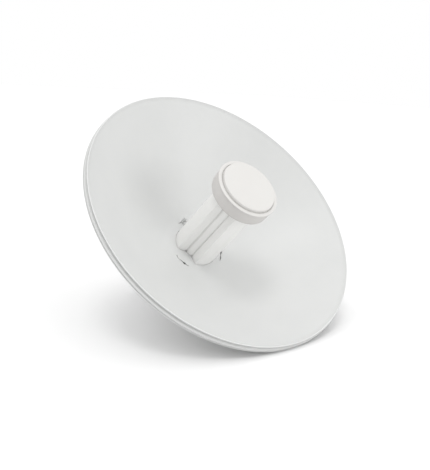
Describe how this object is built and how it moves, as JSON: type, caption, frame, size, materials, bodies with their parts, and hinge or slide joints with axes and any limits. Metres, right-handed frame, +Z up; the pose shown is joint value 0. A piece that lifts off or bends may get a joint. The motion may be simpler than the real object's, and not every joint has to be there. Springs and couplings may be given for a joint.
{
  "type": "outdoor wireless bridge",
  "caption": "Round white dish antenna for an outdoor point-to-point radio link, with a lobed plug-in feed, a rear hub, and a tilting bracket with a toothed pole clamp.",
  "frame": {"origin": "on the surface the unit lies on, under the middle of its bounding box", "axes": "+Z up; the dish looks towards -Y and up at 44.7 degrees; +X runs along the tilt hinge and is the longest extent"},
  "size_m": [0.42, 0.304, 0.3039],
  "materials": {
    "dish_paint": "powder coat, satin",
    "white_plastic": "fine moulded texture",
    "grey_plastic": "fine moulded texture",
    "zinc_steel": "zinc plated",
    "aluminium": "pressed sheet",
    "black_rubber": "matt",
    "black_plastic": "satin",
    "board_green": "solder resist",
    "lens_clear": "clear light pipe"
  },
  "bodies": {
    "pole_mount": {"pole_bracket": "zinc_steel", "clamp_bolt_left": "zinc_steel", "clamp_bolt_right": "zinc_steel", "pivot_bolt": "zinc_steel", "pivot_washer": "zinc_steel", "pivot_nut": "zinc_steel"},
    "dish_unit": {"reflector_dish": "dish_paint", "rear_housing": "white_plastic", "rear_cover": "white_plastic", "vent_plug": "black_rubber", "feed_seal": "black_rubber", "dish_bracket": "zinc_steel", "bracket_bolt_1": "zinc_steel", "bracket_bolt_2": "zinc_steel", "bracket_bolt_3": "zinc_steel", "bracket_bolt_4": "zinc_steel", "lock_bolt": "zinc_steel", "lock_washer": "zinc_steel", "lock_nut": "zinc_steel"},
    "jaw": {"clamp_jaw": "zinc_steel", "clamp_washer_left": "zinc_steel", "clamp_washer_right": "zinc_steel", "clamp_nut_left": "zinc_steel", "clamp_nut_right": "zinc_steel"},
    "feed": {"feed_tube": "white_plastic", "feed_cap": "white_plastic", "feed_lid": "white_plastic", "subreflector": "aluminium", "cap_seal": "black_rubber", "driven_element": "aluminium", "radio_board": "board_green", "radio_shield": "aluminium", "processor_shield": "aluminium", "ethernet_jack": "black_plastic", "reset_switch": "black_plastic", "tail_plate": "white_plastic", "led_lens": "lens_clear"},
    "port_slide": {"port_cover": "white_plastic", "cable_gland": "black_rubber"},
    "release": {"release_button": "grey_plastic"},
    "reset": {"reset_button": "grey_plastic"}
  },
  "joints": [
    {"name": "dish_tilt", "type": "hinge", "parent": "pole_mount", "child": "dish_unit", "pos_m": [0, 0.1031, 0.06534], "axis": [1, 0, 0], "range_deg": [-15, 15]},
    {"name": "jaw_slide", "type": "slide", "parent": "pole_mount", "child": "jaw", "axis": [0, 0.7105, -0.7037], "range_m": [-0.024, 0.009]},
    {"name": "feed_pull", "type": "slide", "parent": "dish_unit", "child": "feed", "axis": [0, -0.7105, 0.7037], "range_m": [0, 0.018]},
    {"name": "port_cover_pull", "type": "slide", "parent": "dish_unit", "child": "port_slide", "axis": [0, -0.7037, -0.7105], "range_m": [0, 0.012]},
    {"name": "feed_release", "type": "slide", "parent": "dish_unit", "child": "release", "axis": [0, -0.7037, -0.7105], "range_m": [0, 0.0015], "stiffness_N_per_m": 600, "springref_m": -0.001},
    {"name": "reset_press", "type": "slide", "parent": "feed", "child": "reset", "axis": [0, 0.7037, 0.7105], "range_m": [0, 0.0006], "stiffness_N_per_m": 600, "springref_m": -0.0005}
  ]
}
